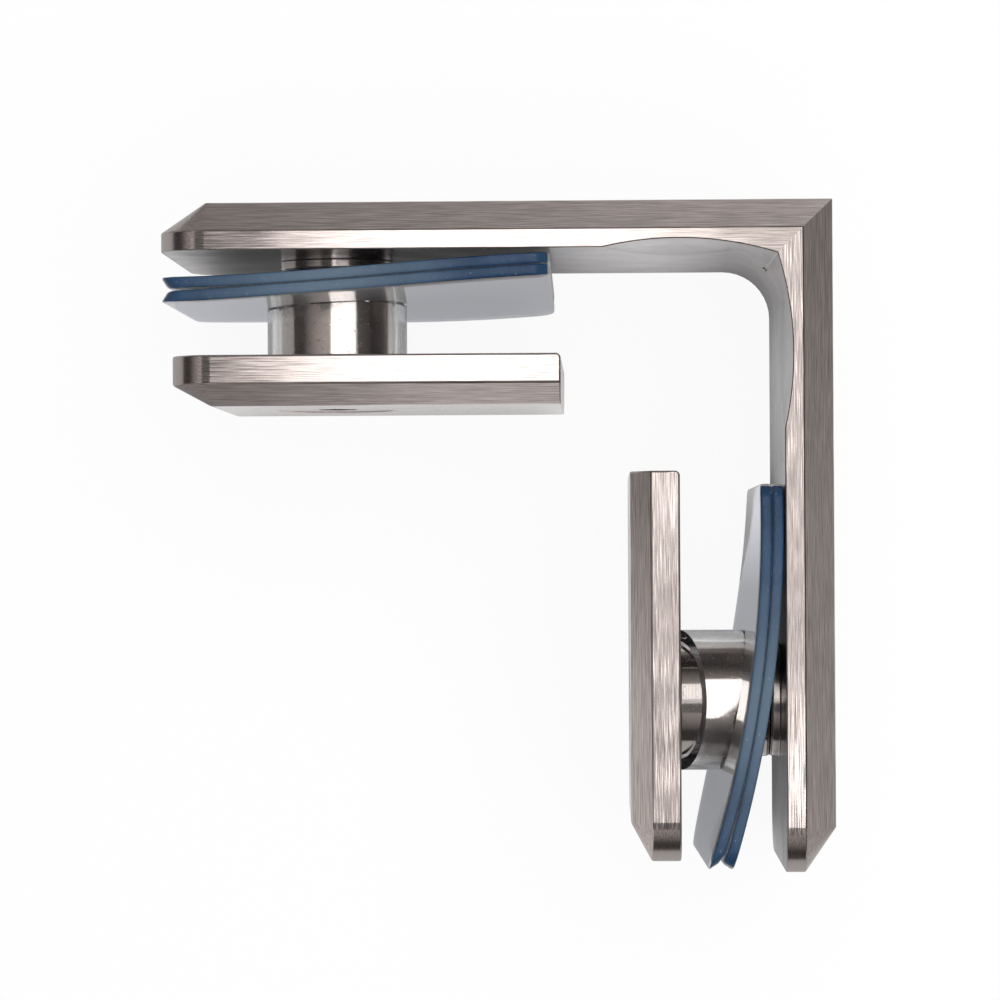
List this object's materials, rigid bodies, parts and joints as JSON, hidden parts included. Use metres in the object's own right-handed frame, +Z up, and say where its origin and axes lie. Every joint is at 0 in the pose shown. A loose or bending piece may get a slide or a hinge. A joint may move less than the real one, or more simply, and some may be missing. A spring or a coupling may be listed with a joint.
{
  "type": "glass corner clamp",
  "caption": "Right-angle clamp that joins two frameless glass panels, with bevelled steel arms, screwed cover plates and clear soft gaskets.",
  "frame": {"origin": "middle of the footprint, on the plane of the lower side faces that the clamp stands on", "axes": "+Z up along the clamp's height, arm A runs from the outer corner to -X, arm B from the outer corner to -Y, and the outer corner points to +X +Y"},
  "size_m": [0.0864, 0.0864, 0.05],
  "materials": {
    "brushed_steel": "satin, brushed along each arm",
    "screw_steel": "turned",
    "clear_soft_plastic": "clear with a blue edge"
  },
  "bodies": {
    "corner": {"corner_body": "brushed_steel", "plain_gasket_a": "clear_soft_plastic", "plain_gasket_b": "clear_soft_plastic", "collar_gasket_a": "clear_soft_plastic", "collar_gasket_b": "clear_soft_plastic"},
    "plate_a": {"cover_plate_a": "brushed_steel"},
    "plate_b": {"cover_plate_b": "brushed_steel"},
    "screw_a": {"clamp_screw_a": "screw_steel"},
    "screw_b": {"clamp_screw_b": "screw_steel"}
  },
  "joints": [
    {"name": "open_a", "type": "slide", "parent": "corner", "child": "plate_a", "axis": [0, -1, 0], "range_m": [0, 0.006]},
    {"name": "open_b", "type": "slide", "parent": "corner", "child": "plate_b", "axis": [-1, 0, 0], "range_m": [0, 0.006]},
    {"name": "turn_a", "type": "hinge", "parent": "plate_a", "child": "screw_a", "pos_m": [-0.02175, 0.0171, 0.025], "axis": [0, -1, 0], "range_deg": [0, 1728]},
    {"name": "turn_b", "type": "hinge", "parent": "plate_b", "child": "screw_b", "pos_m": [0.0171, -0.02175, 0.025], "axis": [-1, 0, 0], "range_deg": [0, 1728]}
  ],
  "couplings": [
    {"joint": "turn_a", "follows": "open_a", "rad_per_m": 5026.5},
    {"joint": "turn_b", "follows": "open_b", "rad_per_m": 5026.5}
  ]
}
